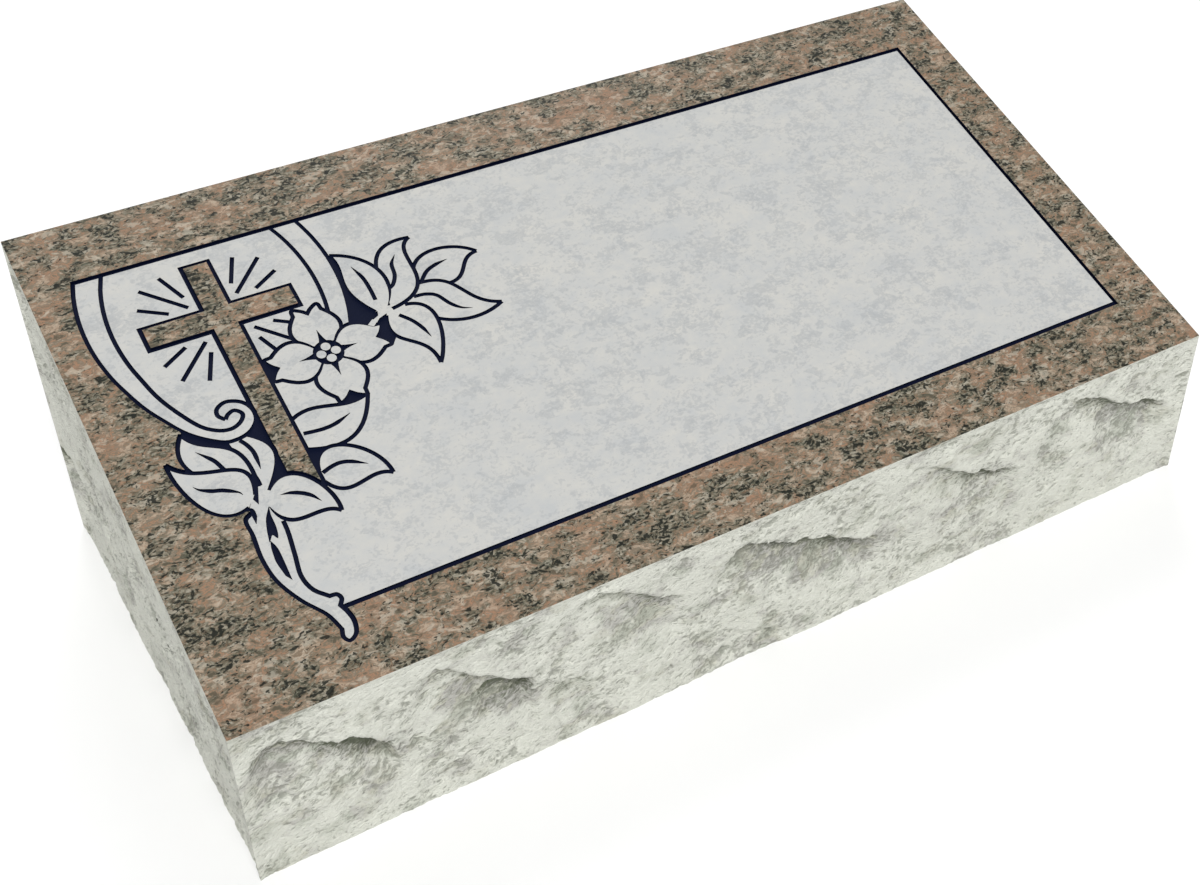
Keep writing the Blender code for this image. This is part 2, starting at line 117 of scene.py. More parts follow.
def smooth(corners, steps=14):  # a curve that passes through every corner
    corners = [Vector(corner) for corner in corners]
    ends = [2 * corners[0] - corners[1]] + corners + [2 * corners[-1] - corners[-2]]
    points = [corners[0]]
    for before, a, b, after in zip(ends, ends[1:], ends[2:], ends[3:]):
        points += bezier(a, a + (b - before) / 6, b - (after - a) / 6, b, steps)[1:]
    return points


def arc(centre, radii, start, end, steps=48):
    points = []
    for i in range(steps + 1):
        angle = math.radians(start + (end - start) * i / steps)
        points.append(centre + Vector((radii[0] * math.cos(angle), radii[1] * math.sin(angle))))
    return points


def thinned(points):  # drops the points that lie on a straight line between their neighbours
    first, last = points[0], points[-1]
    chord = last - first
    closed = chord.length <= tolerance
    worst, place = 0, 0
    for i in range(1, len(points) - 1):
        offset = points[i] - first
        away = offset.length if closed else abs(chord.cross(offset)) / chord.length
        if away > worst:
            worst, place = away, i
    if worst <= tolerance:
        return [first, last]
    return thinned(points[:place + 1])[:-1] + thinned(points[place:])


def mirrored(points):
    return [Vector((point.x, -point.y)) for point in reversed(points)]


def placed(points, centre, degrees):
    turn = Matrix.Rotation(math.radians(degrees), 2)
    return [centre + turn @ point for point in points]


def lay(drawing, finish, outline):  # lays a filled outline over what is drawn so far
    area = sum(a.cross(b) for a, b in zip(outline, outline[1:] + outline[:1]))
    drawing.append((finish, outline if area > 0 else outline[::-1]))


def layFill(drawing, finish, curve):
    lay(drawing, finish, thinned(curve))


def layLine(drawing, curve, startWidth=1.0, endWidth=1.0):
    # a carved line; the widths at its ends are shares of the pen's
    points = thinned(curve)
    taper, mitre = carving["taper"], carving["sharpestMitre"]
    runs = [(b - a).length for a, b in zip(points, points[1:])]
    total, done = sum(runs), 0
    sides = []
    for i, point in enumerate(points):
        ahead = (points[min(i + 1, len(points) - 1)] - point).normalized()
        behind = (point - points[max(i - 1, 0)]).normalized()
        along = (ahead + behind).normalized()
        square = Vector((-along.y, along.x))
        share = done / total
        width = pen * min(1, startWidth + taper * share, endWidth + taper * (1 - share))
        reach = width / 2 / max(mitre, abs(along.dot(ahead if ahead.length else behind)))
        sides.append((point + square * reach, point - square * reach))
        done += runs[i] if i < len(runs) else 0
    for (left, right), (nextLeft, nextRight) in zip(sides, sides[1:]):
        lay(drawing, painted, [right, nextRight, nextLeft, left])


def layLeaf(drawing, base, tip, left, right, vein, veinEnds=(1, 0.1), pens=(1, 1)):
    # two edges, each a start and two handles, and a vein, in shares along and across the leaf
    base, tip = Vector(base), Vector(tip)
    along = tip - base
    across = Vector((-along.y, along.x))
    edges = []
    for shares in (left, right):
        start, first, second = (base + along * a + across * b for a, b in shares)
        edges.append(bezier(start, first, second, tip))
    layFill(drawing, frosted, edges[0] + edges[1][::-1][1:])
    for edge, width in zip(edges, pens):
        layLine(drawing, edge, width)
    layLine(drawing, smooth([base + along * a + across * b for a, b in vein]), *veinEnds)


def layRays(drawing):
    for start, degrees, reach in ornament["rays"]:
        slant = Vector((math.cos(math.radians(degrees)), math.sin(math.radians(degrees))))
        for ends in ((1, 1), (1, -1), (-1, 1), (-1, -1)):
            near = crossCentre + Vector(start) * Vector(ends)
            layLine(drawing, [near, near + slant * Vector(ends) * reach])


def layCross(drawing):
    side, arm = ornament["crossHalf"], ornament["crossArm"]
    head, foot = ornament["crossHead"], ornament["crossFoot"]
    half = [(side, -foot), (side, -side), (arm, -side), (arm, side), (side, side), (side, head)]
    corners = [crossCentre + Vector(corner) for corner in half]
    corners += [crossCentre + Vector((-x, y)) for x, y in reversed(half)]
    lay(drawing, polished, corners)
    for a, b in zip(corners, corners[1:] + corners[:1]):
        beyond = (b - a).normalized() * pen / 2
        layLine(drawing, [a - beyond, b + beyond])


def layBlossom(drawing):  # four notched petals, a dark disc, a star and four seeds
    centre, disc = ornament["blossomCentre"], ornament["discRadius"]
    half = bezier(*(Vector(p) for p in ((5.6, 5.2), (15.2, 20.6), (25.0, 11.2), (29.2, 8.0))))
    half += smooth([(29.2, 8.0), (32.7, 7.6), (33.2, 6.0), (31.0, 2.4), (28.6, 0)])[1:]
    for quarter in (90, 0, 270, 180):
        outline = placed(half + mirrored(half)[1:], centre, quarter)
        layFill(drawing, frosted, outline)
        layLine(drawing, outline, 0.5, 0.5)
    layFill(drawing, painted, arc(centre, (disc, disc), 0, 360)[:-1])
    tip = (ornament["starReach"], 0)
    spike = bezier(*(Vector(p) for p in ((5.5, 3.4), (8, 1.6), (12, 0.7), tip)))
    for quarter in range(0, 360, 90):
        layFill(drawing, painted, placed(spike + mirrored(spike)[1:], centre, quarter))
    for quarter in range(0, 360, 90):
        seed = centre + placed([Vector((ornament["seedOffset"], 0))], Vector((0, 0)), quarter)[0]
        layFill(drawing, frosted, arc(seed, (ornament["seedRadius"],) * 2, 0, 360, 24)[:-1])


def bandArc(band, start, end, steps=40):
    radii, rise = band
    return arc(crossCentre + Vector((0, rise)), radii, start, end, steps)


def layBand(drawing):  # the scroll's two long lines, down to the curl where they meet
    outer = bandArc(ornament["bandOuter"], 155.3, 206, 7)
    outer += [(29.7, 190), (34.9, 180), (44.4, 165.2), (57, 154.6), (65, 152.8), (73, 155)]
    outer += [(78.4, 160.8), (79, 168), (75.6, 174), (68.8, 177), (63.2, 174.8), (61.7, 170.4)]
    outer += [(64.4, 166.6)]
    inner = bandArc(ornament["bandInner"], 147.9, 200, 6)
    inner += [(39.7, 190), (49.7, 170), (57.2, 162.4), (64.5, 160), (70.6, 162.2)]
    inner += [(73.5, 166.6), (70.6, 170.3), (66.8, 169.2), (64.4, 166.6)]
    outer, inner = smooth(outer), smooth(inner)
    layFill(drawing, frosted, outer + inner[::-1][1:])
    layLine(drawing, outer)
    layLine(drawing, inner)


def layGround(drawing, *corners):  # dark ground, which what lies over it trims
    lay(drawing, painted, [Vector(corner) for corner in corners])


def layBox(drawing, low, high):  # a straight carved line with square ends
    (left, bottom), (right, top) = low, high
    layGround(drawing, (left, bottom), (right, bottom), (right, top), (left, top))


def layFootLeaves(drawing):
    layGround(drawing, (94.6, 134), (108, 130), (99, 128), (94.6, 119))
    layLeaf(drawing, (94.7, 143.5), (137.2, 154.5),
            ((0.06, 0.22), (0.45, 0.32), (0.60, -0.08)),
            ((-0.06, -0.225), (0.38, -0.55), (0.68, -0.41)),
            ((0.04, -0.02), (0.16, -0.07), (0.28, -0.11), (0.43, -0.13), (0.65, -0.11)))
    layLeaf(drawing, (94.7, 115.5), (128.5, 103.2),
            ((-0.03, 0.09), (-0.16, 0.77), (0.81, 0.56)),
            ((0.04, -0.10), (0.44, -0.48), (0.62, 0.12)),
            ((0.02, 0.05), (0.13, 0.14), (0.27, 0.21), (0.43, 0.22), (0.66, 0.17)))


def layScrollLeaves(drawing):
    layGround(drawing, (41, 168.5), (50, 159.5), (65, 152.9), (79, 162), (79.1, 121),
              (70, 117), (66, 130), (55, 150), (41.5, 162))
    stemHead = ((55.4, 109.4), (58, 110), (66, 112), (68.2, 117.7), (65.5, 122.5),
                (61.5, 122), (60.5, 118.2), (55.6, 112.2))
    lay(drawing, frosted, [Vector(corner) for corner in stemHead])
    layLeaf(drawing, (67, 120), (61.2, 160),
            ((0.06, 0.04), (0.35, -0.04), (0.82, 0.18)),
            ((-0.06, -0.02), (0.34, -0.45), (0.55, -0.55)),
            ((0.78, -0.09), (0.67, -0.13), (0.54, -0.145), (0.39, -0.12), (0.27, -0.09)))
    layLeaf(drawing, (62, 122), (40.8, 166.2),
            ((0.00, 0.09), (0.36, 0.23), (0.77, 0.45)),
            ((-0.02, -0.04), (0.63, -0.47), (0.60, 0.05)),
            ((0.38, 0.03), (0.52, 0.015), (0.63, 0.035), (0.74, 0.06)))


def layLeftLeaf(drawing):
    layLeaf(drawing, (58, 115), (27.6, 151.6),
            ((-0.01, 0.08), (0.12, 0.53), (0.78, 0.22)),
            ((0.01, -0.09), (0.34, -0.63), (0.51, 0.09)),
            ((0.12, -0.03), (0.18, -0.04), (0.33, 0.01), (0.42, 0.065), (0.54, 0.11), (0.62, 0.11)),
            (0.1, 0.1))


def layBranch(drawing):  # the bare stem with its thorn, its dark gaps, and the leaf beside it
    left = smooth([(55, 108.6), (50.9, 105.4), (50.9, 96), (49.8, 82), (51.6, 67.5), (57.8, 53.3),
                   (65.8, 41.2), (69, 31)])
    toe = smooth([(69, 31), (68, 26.8), (70.2, 23.8), (74.4, 26.6), (76.1, 33), (75.2, 39),
                  (73.6, 43.4)])
    thorn = smooth([(73.6, 43.4), (75.6, 46.6), (74.4, 49.6), (71, 50.1)])
    right = smooth([(71, 50.1), (65.2, 56.8), (63.1, 66), (65, 78), (67, 91), (67.4, 98.5)])
    outline = left + toe[1:] + thorn[1:] + right[1:]
    layFill(drawing, frosted, outline + [Vector((66, 112)), Vector((58, 114))])
    layLine(drawing, outline)
    layLeaf(drawing, (66.2, 113.2), (95.75, 92.6),
            ((-0.02, 0.13), (0.03, 0.78), (0.84, 0.39)),
            ((0.03, -0.13), (0.48, -0.57), (0.64, 0.09)),
            ((0.13, 0.09), (0.26, 0.15), (0.42, 0.175), (0.56, 0.16), (0.70, 0.10)),
            (0.1, 0.1), (0.2, 0.2))
    layLine(drawing, smooth([(53.2, 111.4), (55.8, 110.2), (55.9, 106.5), (55, 102)]), 1, 0.1)
    wedge = smooth([(65, 130.6), (64.8, 125), (62.8, 119), (60.3, 112)])
    layFill(drawing, painted, wedge + smooth([(58.8, 116), (61.4, 120.4), (61.6, 127)]))
    fork = smooth([(64.3, 109.4), (60.3, 103), (58, 96), (56.6, 89.5)])
    forkEnd = smooth([(57.9, 90.8), (59.6, 92.8), (61.4, 90.2), (63, 96), (63.3, 104)])
    layFill(drawing, painted, fork + forkEnd)
    slot = smooth([(57.4, 90.6), (59.1, 85), (59.1, 77), (58.6, 65.4)])
    layFill(drawing, painted, slot + smooth([(56.5, 69), (55.3, 78), (56.1, 86)]))


def layBlossomGround(drawing):
    layGround(drawing, (154.7, 249.5), (155, 240), (154.2, 226), (152.2, 213), (149, 202),
              (150, 197), (156.4, 196.8), (163.6, 200), (164.6, 203.5), (158, 214), (155.8, 228),
              (158, 242))
    layGround(drawing, (168.4, 199.8), (163.3, 198), (158, 193), (158, 181), (163.4, 179.2),
              (166.6, 183), (164.8, 190), (167.4, 197))
    layGround(drawing, (94.6, 195), (99, 195), (102, 187), (99, 180), (94.6, 180))
    layGround(drawing, (121.5, 153.4), (122.5, 157), (136.5, 157), (137, 154), (130, 152.4))


def laySpray(drawing):  # five leaves beyond the blossom, back to front, and their stalk
    stalk = ((155.7, 196), (158.3, 193.9), (161.8, 196.8), (159.5, 198.8))
    lay(drawing, frosted, [Vector(corner) for corner in stalk])
    layLeaf(drawing, (193.5, 212), (233.9, 222.4),
            ((0.00, 0.04), (0.13, 0.58), (0.81, 0.40)),
            ((0.01, -0.04), (0.66, -0.53), (0.60, 0.08)),
            ((0.04, 0.01), (0.22, 0.115), (0.39, 0.14), (0.58, 0.125)))
    layLeaf(drawing, (186.5, 207.4), (230.6, 183.6),
            ((0.05, 0.15), (0.51, 0.41), (0.55, -0.08)),
            ((-0.05, -0.15), (0.30, -0.44), (0.75, -0.35)),
            ((0.03, -0.04), (0.15, 0.01), (0.28, 0.01), (0.43, -0.09), (0.56, -0.135),
             (0.68, -0.125)))
    layLeaf(drawing, (173.4, 200), (181.1, 157.8),
            ((-0.01, 0.16), (0.13, 0.66), (0.79, 0.24)),
            ((0.01, -0.14), (0.51, -0.46), (0.47, 0.15)),
            ((0.09, 0), (0.25, 0.085), (0.42, 0.13), (0.60, 0.14)))
    layLeaf(drawing, (172.4, 203), (202.8, 245.8),
            ((0.01, 0.03), (0.38, 0.20), (0.75, 0.50)),
            ((-0.02, -0.02), (0.49, -0.55), (0.69, 0.19)),
            ((0.25, 0.06), (0.32, 0.035), (0.44, 0.045), (0.58, 0.105), (0.72, 0.10)))
    layLeaf(drawing, (167.5, 203.5), (156.2, 249.3),
            ((0.01, 0.09), (0.60, 0.30), (0.63, -0.02)),
            ((0.00, -0.08), (0.28, -0.46), (0.76, -0.39)),
            ((0.15, -0.02), (0.30, -0.066), (0.50, -0.107), (0.72, -0.10)), pens=(1, 0.1))


def drawPanel():  # everything on the sloping face, from the panel up
    left, bottom = ornament["corner"]
    right = left + panelWidth / drawnScale
    top = bottom + ornament["drawnHeight"]
    drawing = []
    oval = bandArc(ornament["bandOuter"], 155.3, 216, 8)
    hidden = [(44.4, 165.2), (62, 156), (70, 130), (62, 110), (58, 80), (70, bottom)]
    panel = [Vector((right, bottom)), Vector((right, top))] + oval
    lay(drawing, frosted, panel + [Vector(corner) for corner in hidden])
    layRays(drawing)
    layLine(drawing, bandArc(ornament["bandOuter"], 24.5, -29))
    layLine(drawing, bandArc(ornament["bandInner"], 31.8, -25))
    for laid in (layFootLeaves, layCross, layScrollLeaves, layBand, layLeftLeaf, layBranch,
                 layBlossomGround, layBlossom, laySpray):
        laid(drawing)
    shares = (carving[name] for name in ("nearLineShare", "topLineShare", "rightLineShare"))
    near, upper, side = (pen * share for share in shares)
    layBox(drawing, (oval[0].x - pen / 2, top - upper / 2), (right + side / 2, top + upper / 2))
    layBox(drawing, (right - side / 2, bottom), (right + side / 2, top))
    start = (ornament["nearLineStart"], bottom - pen / 2)
    layBox(drawing, start, (right + side / 2, bottom - pen / 2 + near))
    return drawing


# the broken sides: columns along each side, rows up them, and the relief, lengths in metres
rock = {
    "columns": {"front": 460, "right": 120, "back": 250, "left": 170},
    "rows": 88,
    "seed": 11,
    "sharpAngle": 55,
    "ledgeDepth": 0.0120,
    "ledgeEnds": (0.35, 0.16),  # a ledge deepens and fades over these shares of its run
    "ledgeStraight": 0.6,  # how far its falling edge is a straight one
    "ledgeStart": 0.45,  # its depth at the start, as a share of that at the end
    "ledgeRoom": 0.012,  # nearer to the top than this share of the length, a ledge fades
    "hollow": 0.0035,
    "back": 0.050,
    # shadeStart and shadeDepth: where the painted shade below a ledge's edge grows full, and over
    # what depth it fades
    "shadeStart": 0.0015,
    "shadeDepth": 0.007,
    "upperRow": (0.37, 0.165, 0.5),  # the same ledges again: shift, rise and share
    "starts": {"front": 0, "right": 0.25, "back": 0.45, "left": -0.074},
    "uneven": (0.78, 0.5),  # middle and spread of what the ledges are multiplied by
    "unevenSize": 0.022,
    "unevenShift": Vector((3, 1, 2)),
    "swell": 0.003,
    "swellSize": 0.07,
    "margin": 0.03,
    "arris": 0.005,
    "corner": 0.018,
    "foot": 0.012,
    "footShare": 0.35,
    "warps": ((0.035, 0.0050), (0.011, 0.0022), (0.004, 0.0009)),
    "crags": ((0.020, 0.0022), (0.0075, 0.0012)),
    "cragNoise": (1.0, 2.1, 3),  # roughness, lacunarity and octaves
    "calmest": 0.45,  # the share of the crags and chips that is left where the stone is calm
    "roughContrast": 1.6,
    "roughSize": 0.028,
    "roughShift": Vector((7, 5, 1)),
    "edgeFade": 0.004,
    "footCrags": 0.5,
    "chipSize": (0.0060, 0.0026),
    "chipNoise": (0.9, 2.1, 2),
    "chipSlant": 14,
    "chipDrift": 0.0035,
    "chipDriftSize": 0.015,
    "chipDepth": 0.0023,
}

# ledges: start, peak and end of the edge, along and up the side in shares of the length, and
# the share of the ledge depth
ledges = (
    ((-0.030, 0.120), (0.036, 0.136), (0.136, 0.087), 1.0),
    ((0.130, 0.110), (0.166, 0.146), (0.252, 0.090), 0.9),
    ((0.243, 0.118), (0.312, 0.155), (0.412, 0.104), 0.7),
    ((0.392, 0.098), (0.470, 0.135), (0.630, 0.080), 1.0),
    ((0.600, 0.132), (0.640, 0.142), (0.795, 0.088), 0.85),
    ((0.783, 0.112), (0.856, 0.138), (0.985, 0.092), 1.0),
    ((0.090, 0.042), (0.262, 0.080), (0.330, 0.052), 0.35),
    ((0.375, 0.010), (0.445, 0.042), (0.520, 0.012), 0.35),
    ((0.190, 0.092), (0.224, 0.103), (0.256, 0.088), 1.3),
    ((0.060, 0.108), (0.090, 0.1175), (0.134, 0.084), 1.5),
)


def ease(value):
    value = min(1, max(0, value))
    return value * value * (3 - 2 * value)


def atLeast(least, value):  # from least to 1, as the value goes from 0 to 1
    return least + (1 - least) * value


def ledgeHollow(run, up, top):
    # (how hollow, how much painted shade) a place gets: 0 in the open, about 1 just below a ledge's
    # edge
    rising, fading = rock["ledgeEnds"]
    straight = rock["ledgeStraight"]
    hollow = shade = 0
    for start, peak, end, share in ledges:
        along = (run - start[0]) % 1 + start[0]
        if along >= end[0]:
            continue
        if along < peak[0]:
            edge = start[1] + (peak[1] - start[1]) * ease((along - start[0]) / (peak[0] - start[0]))
        else:
            beyond = (along - peak[0]) / (end[0] - peak[0])
            fallen = straight * beyond + (1 - straight) * ease(beyond)
            edge = peak[1] + (end[1] - peak[1]) * fallen
        below = (edge - up) * length
        if below > 0:
            passed = (along - start[0]) / (end[0] - start[0])
            width = share * ease(passed / rising) * ease((1 - passed) / fading)
            width *= atLeast(rock["ledgeStart"], passed)
            width *= ease((top - edge) / rock["ledgeRoom"])
            here = width * (1 - math.exp(-below / rock["hollow"]))
            here *= 1 - ease(below / rock["back"])
            hollow = max(hollow, here)  # where ledges meet, the deeper one counts
            # painted shade: darkest just below the edge, fading further down
            dark = width * ease(below / rock["shadeStart"])
            shade += dark * math.exp(-below / rock["shadeDepth"])
    return hollow, shade


def chips(place, far):  # small slanting chips, 0 to about 1
    slant = math.radians(rock["chipSlant"])
    wide, high = rock["chipSize"]
    drift = noise.noise_vector(place / rock["chipDriftSize"]) * rock["chipDrift"]
    along = far * math.cos(slant) + place.z * math.sin(slant) + drift.x
    across = place.z * math.cos(slant) - far * math.sin(slant) + drift.y
    grain = Vector((along / wide, across / high, place.y / wide))
    return abs(noise.fractal(grain, *rock["chipNoise"]))


def rockDepth(place, far, start, alongSide, top, fromCorner):
    # (how far behind the flat plane, hollow, painted shade, chipped)
    warp = Vector()
    for size, reach in rock["warps"]:
        warp += noise.noise_vector(place / size) * reach
    run = start + (far + warp.dot(alongSide)) / length
    up = (place.z + warp.z) / length
    shift, rise, share = rock["upperRow"]
    hollow, shade = ledgeHollow(run, up, top / length)
    upper, upperShade = ledgeHollow(run + shift, up - rise, top / length - rise)
    middle, spread = rock["uneven"]
    uneven = middle + spread * noise.noise(place / rock["unevenSize"] + rock["unevenShift"])
    hollow = max(hollow, share * upper) * uneven
    shade = (shade + share * upperShade) * uneven
    belowTop = top - place.z
    deep = rock["ledgeDepth"] * hollow * ease(belowTop / rock["arris"])
    swell = 0.5 + 0.5 * noise.noise(place / rock["swellSize"])
    deep += rock["swell"] * swell * ease(belowTop / rock["margin"])
    deep *= (atLeast(rock["footShare"], ease(place.z / rock["foot"]))
             * ease(fromCorner / rock["corner"]))
    crag = 0
    for size, reach in rock["crags"]:
        crag += reach * abs(noise.fractal(place / size, *rock["cragNoise"]))
    rough = noise.noise(place / rock["roughSize"] + rock["roughShift"])
    rough = atLeast(rock["calmest"], ease(0.5 + rock["roughContrast"] * rough + 0.5 * hollow))
    chipped = chips(place, far)
    crag = (crag + rock["chipDepth"] * chipped) * rough
    fade = rock["edgeFade"]
    crag *= (ease(belowTop / fade) * ease(fromCorner / fade)
             * atLeast(rock["footCrags"], ease(place.z / fade)))
    return max(0, deep + crag), hollow, shade, chipped * rough


def buildSides():
    # columns round the block from its front left corner, each with its points from foot to arris
    corners = {
        "front": (Vector((lowCorner.x, lowCorner.y)), Vector((1, 0)), length),
        "right": (Vector((highCorner.x, lowCorner.y)), Vector((0, 1)), depth),
        "back": (Vector((highCorner.x, highCorner.y)), Vector((-1, 0)), length),
        "left": (Vector((lowCorner.x, highCorner.y)), Vector((0, -1)), depth),
    }
    noise.seed_set(rock["seed"])  # the same breaks on every run
    columns, marks = [], []
    for side, (corner, along, reach) in corners.items():
        inward = Vector((-along.y, along.x, 0))
        alongSide = Vector((along.x, along.y, 0))
        count = rock["columns"][side]
        for i in range(count):
            far = reach * i / count
            plan = corner + along * far
            top = frontHeight + (backHeight - frontHeight) * (plan.y - lowCorner.y) / depth
            column = []
            for j in range(rock["rows"] + 1):
                place = Vector((plan.x, plan.y, top * j / rock["rows"]))
                deep, *mark = rockDepth(place, far, rock["starts"][side], alongSide, top,
                                        min(far, reach - far))
                column.append(place + inward * deep)
                marks.append(mark)
            columns.append(column)
    return columns, marks


def facePoint(u, v, level):  # a place on the sloping face, level metres above it
    return Vector((lowCorner.x + u, lowCorner.y + v * math.cos(slope) - level * math.sin(slope),
                   frontHeight + v * math.sin(slope) + level * math.cos(slope)))


def buildStone():
    columns, marks = buildSides()
    rows = rock["rows"]
    verts = [point for column in columns for point in column]
    faces, finishes = [], []

    def index(column, row):
        return (column % len(columns)) * (rows + 1) + row

    for i in range(len(columns)):
        for j in range(rows):
            faces.append((index(i, j), index(i + 1, j), index(i + 1, j + 1), index(i, j + 1)))
            finishes.append(broken)
    faces.append(tuple(index(i, 0) for i in reversed(range(len(columns)))))
    finishes.append(broken)

    origin, margins = ornament["corner"], Vector((carving["marginLeft"], carving["marginBottom"]))
    rim = []
    for column in columns:
        x, y, _ = column[rows]
        flat = Vector((x - lowCorner.x, (y - lowCorner.y) / math.cos(slope)))
        rim.append((flat - margins) / drawnScale + origin)
    drawing = [(polished, rim)] + drawPanel()
    corners, outlines = [], []
    for _, outline in drawing:
        outlines.append(list(range(len(corners), len(corners) + len(outline))))
        corners += outline
    points, _, triangles, fromInput, _, covers = delaunay_2d_cdt(
        corners, [], outlines, 1, tolerance / 10)
    levels = {polished: 0.0, frosted: -carving["panelRecess"], painted: -carving["lineDepth"]}
    made = {}
    for point, sources in enumerate(fromInput):
        for source in sources:
            if source < len(rim):
                made[point, polished] = index(source, rows)

    def corner(point, finish):
        if (point, finish) not in made:
            u, v = (points[point] - origin) * drawnScale + margins
            made[point, finish] = len(verts)
            verts.append(facePoint(u, v, levels[finish]))
            marks.append((0, 0, 0))
        return made[point, finish]

    besides, used = {}, {}
    for triangle, cover in zip(triangles, covers):
        if not cover:
            continue
        finish = drawing[max(cover)][0]
        faces.append(tuple(corner(point, finish) for point in triangle))
        finishes.append(finish)
        for a, b in zip(triangle, triangle[1:] + triangle[:1]):
            besides[a, b] = finish
            used.setdefault(a, set()).add(finish)
    for (a, b), finish in besides.items():
        other = besides.get((b, a))
        if other is None or levels[finish] <= levels[other]:
            continue
        between = [f for f in (painted, frosted, polished)
                   if levels[other] <= levels[f] <= levels[finish]]
        wall = [corner(b, f) for f in between if f in used[b]]
        wall += [corner(a, f) for f in reversed(between) if f in used[a]]
        faces.append(tuple(wall))
        finishes.append(other)
    return verts, faces, finishes, marks


def stoneObject():
    verts, faces, finishes, marks = buildStone()
    mesh = bpy.data.meshes.new("stone")
    mesh.from_pydata(verts, [], faces)
    for material in (polishedGranite(), frostedPanel(), paintedLine(), brokenRock()):
        mesh.materials.append(material)
    mesh.polygons.foreach_set("material_index", finishes)
    mesh.polygons.foreach_set("use_smooth", [finish == broken for finish in finishes])
    # per point, for the rock material: hollow, painted shade and chipped
    for name, values in zip(("hollow", "shade", "chipped"), zip(*marks)):
        mesh.attributes.new(name, "FLOAT", "POINT").data.foreach_set("value", values)
    mesh.validate()
    mesh.update()
    mesh.set_sharp_from_angle(angle=math.radians(rock["sharpAngle"]))
    made = bpy.data.objects.new("carved_stone", mesh)
    bpy.context.scene.collection.objects.link(made)
    triangles = sum(len(face) - 2 for face in faces)
    print(f"stone mesh: {len(verts)} points, {triangles} triangles")
    return made


# small helpers for materials
def newMaterial(name, look):
    material = bpy.data.materials.new(name)
    material.use_nodes = True
    shader = material.node_tree.nodes["Principled BSDF"]
    shader.inputs["Roughness"].default_value = look["roughness"]
    shader.inputs["Specular IOR Level"].default_value = look["specular"]
    return material, material.node_tree, shader


def addNode(tree, kind, values=None, **settings):
    node = tree.nodes.new(kind)
    for key, value in settings.items():
        setattr(node, key, value)
    for key, value in (values or {}).items():
        if isinstance(value, bpy.types.NodeSocket):
            tree.links.new(value, node.inputs[key])
        else:
            node.inputs[key].default_value = value
    return node


def maths(tree, operation, a, b, clamp=False):
    node = addNode(tree, "ShaderNodeMath", {0: a, 1: b}, operation=operation, use_clamp=clamp)
    return node.outputs[0]


def vectorMaths(tree, operation, values):
    return addNode(tree, "ShaderNodeVectorMath", values, operation=operation).outputs[0]


def offMiddle(tree, value, share):  # how far a value lies from 0.5, times a share
    return maths(tree, "MULTIPLY", maths(tree, "SUBTRACT", value, 0.5), share)


def band(tree, value, low, high):  # 0 below low, 1 above high, smooth between
    node = addNode(tree, "ShaderNodeMapRange", {"Value": value, "From Min": low, "From Max": high},
                   interpolation_type="SMOOTHSTEP")
    return node.outputs["Result"]


def blend(tree, share, a, b):
    return addNode(tree, "ShaderNodeMix", {0: share, 6: a, 7: b}, data_type="RGBA").outputs[2]


def stain(tree, mask, share, body, tint):  # a tint over the body, at most by this share
    return blend(tree, maths(tree, "MULTIPLY", mask, share), body, tint)


def noiseAt(tree, vector, scale, detail=4.0, roughness=0.55, distortion=0.0, output="Fac"):
    values = {"Vector": vector, "Scale": scale, "Detail": detail, "Roughness": roughness,
              "Distortion": distortion}
    return addNode(tree, "ShaderNodeTexNoise", values).outputs[output]


def ramp(tree, value, stops):
    node = addNode(tree, "ShaderNodeValToRGB", {"Fac": value})
    elements = node.color_ramp.elements
    while len(elements) < len(stops):
        elements.new(0.5)
    for element, (position, colour) in zip(elements, stops):
        element.position = position
        element.color = colour
    return node.outputs["Color"]


def addBump(tree, shader, height, look):
    values = {"Strength": look["bumpStrength"], "Distance": look["bumpHeight"], "Height": height}
    bump = addNode(tree, "ShaderNodeBump", values)
    tree.links.new(bump.outputs[0], shader.inputs["Normal"])


def colour(red, green, blue):  # from the 0 to 255 numbers of a colour picker
    def linear(value):
        value /= 255
        return value / 12.92 if value < 0.04045 else ((value + 0.055) / 1.055)**2.4
    return linear(red), linear(green), linear(blue), 1


# shared effects: groups made once; a scale is that of a noise, finer as it grows
effects = {
    "wanderDetail": 3.0,
    "fleckNoise": (2.5, 0.6),  # detail and roughness
    "broadNoise": (3.0, 0.6),
    "fineNoise": (4.0, 0.65),
    "fleckBand": (0.48, 0.58),
}


def newGroup(name, inputs, output, kind):
    group = bpy.data.node_groups.new(name, "ShaderNodeTree")
    for label, value in inputs.items():
        wanted = "NodeSocketVector" if isinstance(value, tuple) else "NodeSocketFloat"
        socket = group.interface.new_socket(label, in_out="INPUT", socket_type=wanted)
        socket.default_value = value
    group.interface.new_socket(output, in_out="OUTPUT", socket_type=kind)
    source = group.nodes.new("NodeGroupInput")
    return group, source.outputs, group.nodes.new("NodeGroupOutput").inputs[output]


def grainSpaceGroup():  # stone coordinates: turned with the grain, longer along it, wandering
    group, given, result = newGroup(
        "grainSpace",
        {"Slant": (0, 0, 0), "Stretch": (1, 1, 1), "Wander": 0.001, "Wander Scale": 100.0},
        "Vector", "NodeSocketVector")
    place = addNode(group, "ShaderNodeTexCoord").outputs["Object"]
    turned = {"Vector": place, "Rotation": given["Slant"], "Scale": given["Stretch"]}
    mapped = addNode(group, "ShaderNodeMapping", turned, vector_type="TEXTURE").outputs[0]
    drift = noiseAt(group, mapped, given["Wander Scale"], effects["wanderDetail"], output="Color")
    centred = vectorMaths(group, "SUBTRACT", {0: drift, 1: (0.5, 0.5, 0.5)})
    scaled = vectorMaths(group, "SCALE", {0: centred, "Scale": given["Wander"]})
    group.links.new(vectorMaths(group, "ADD", {0: mapped, 1: scaled}), result)
    return group


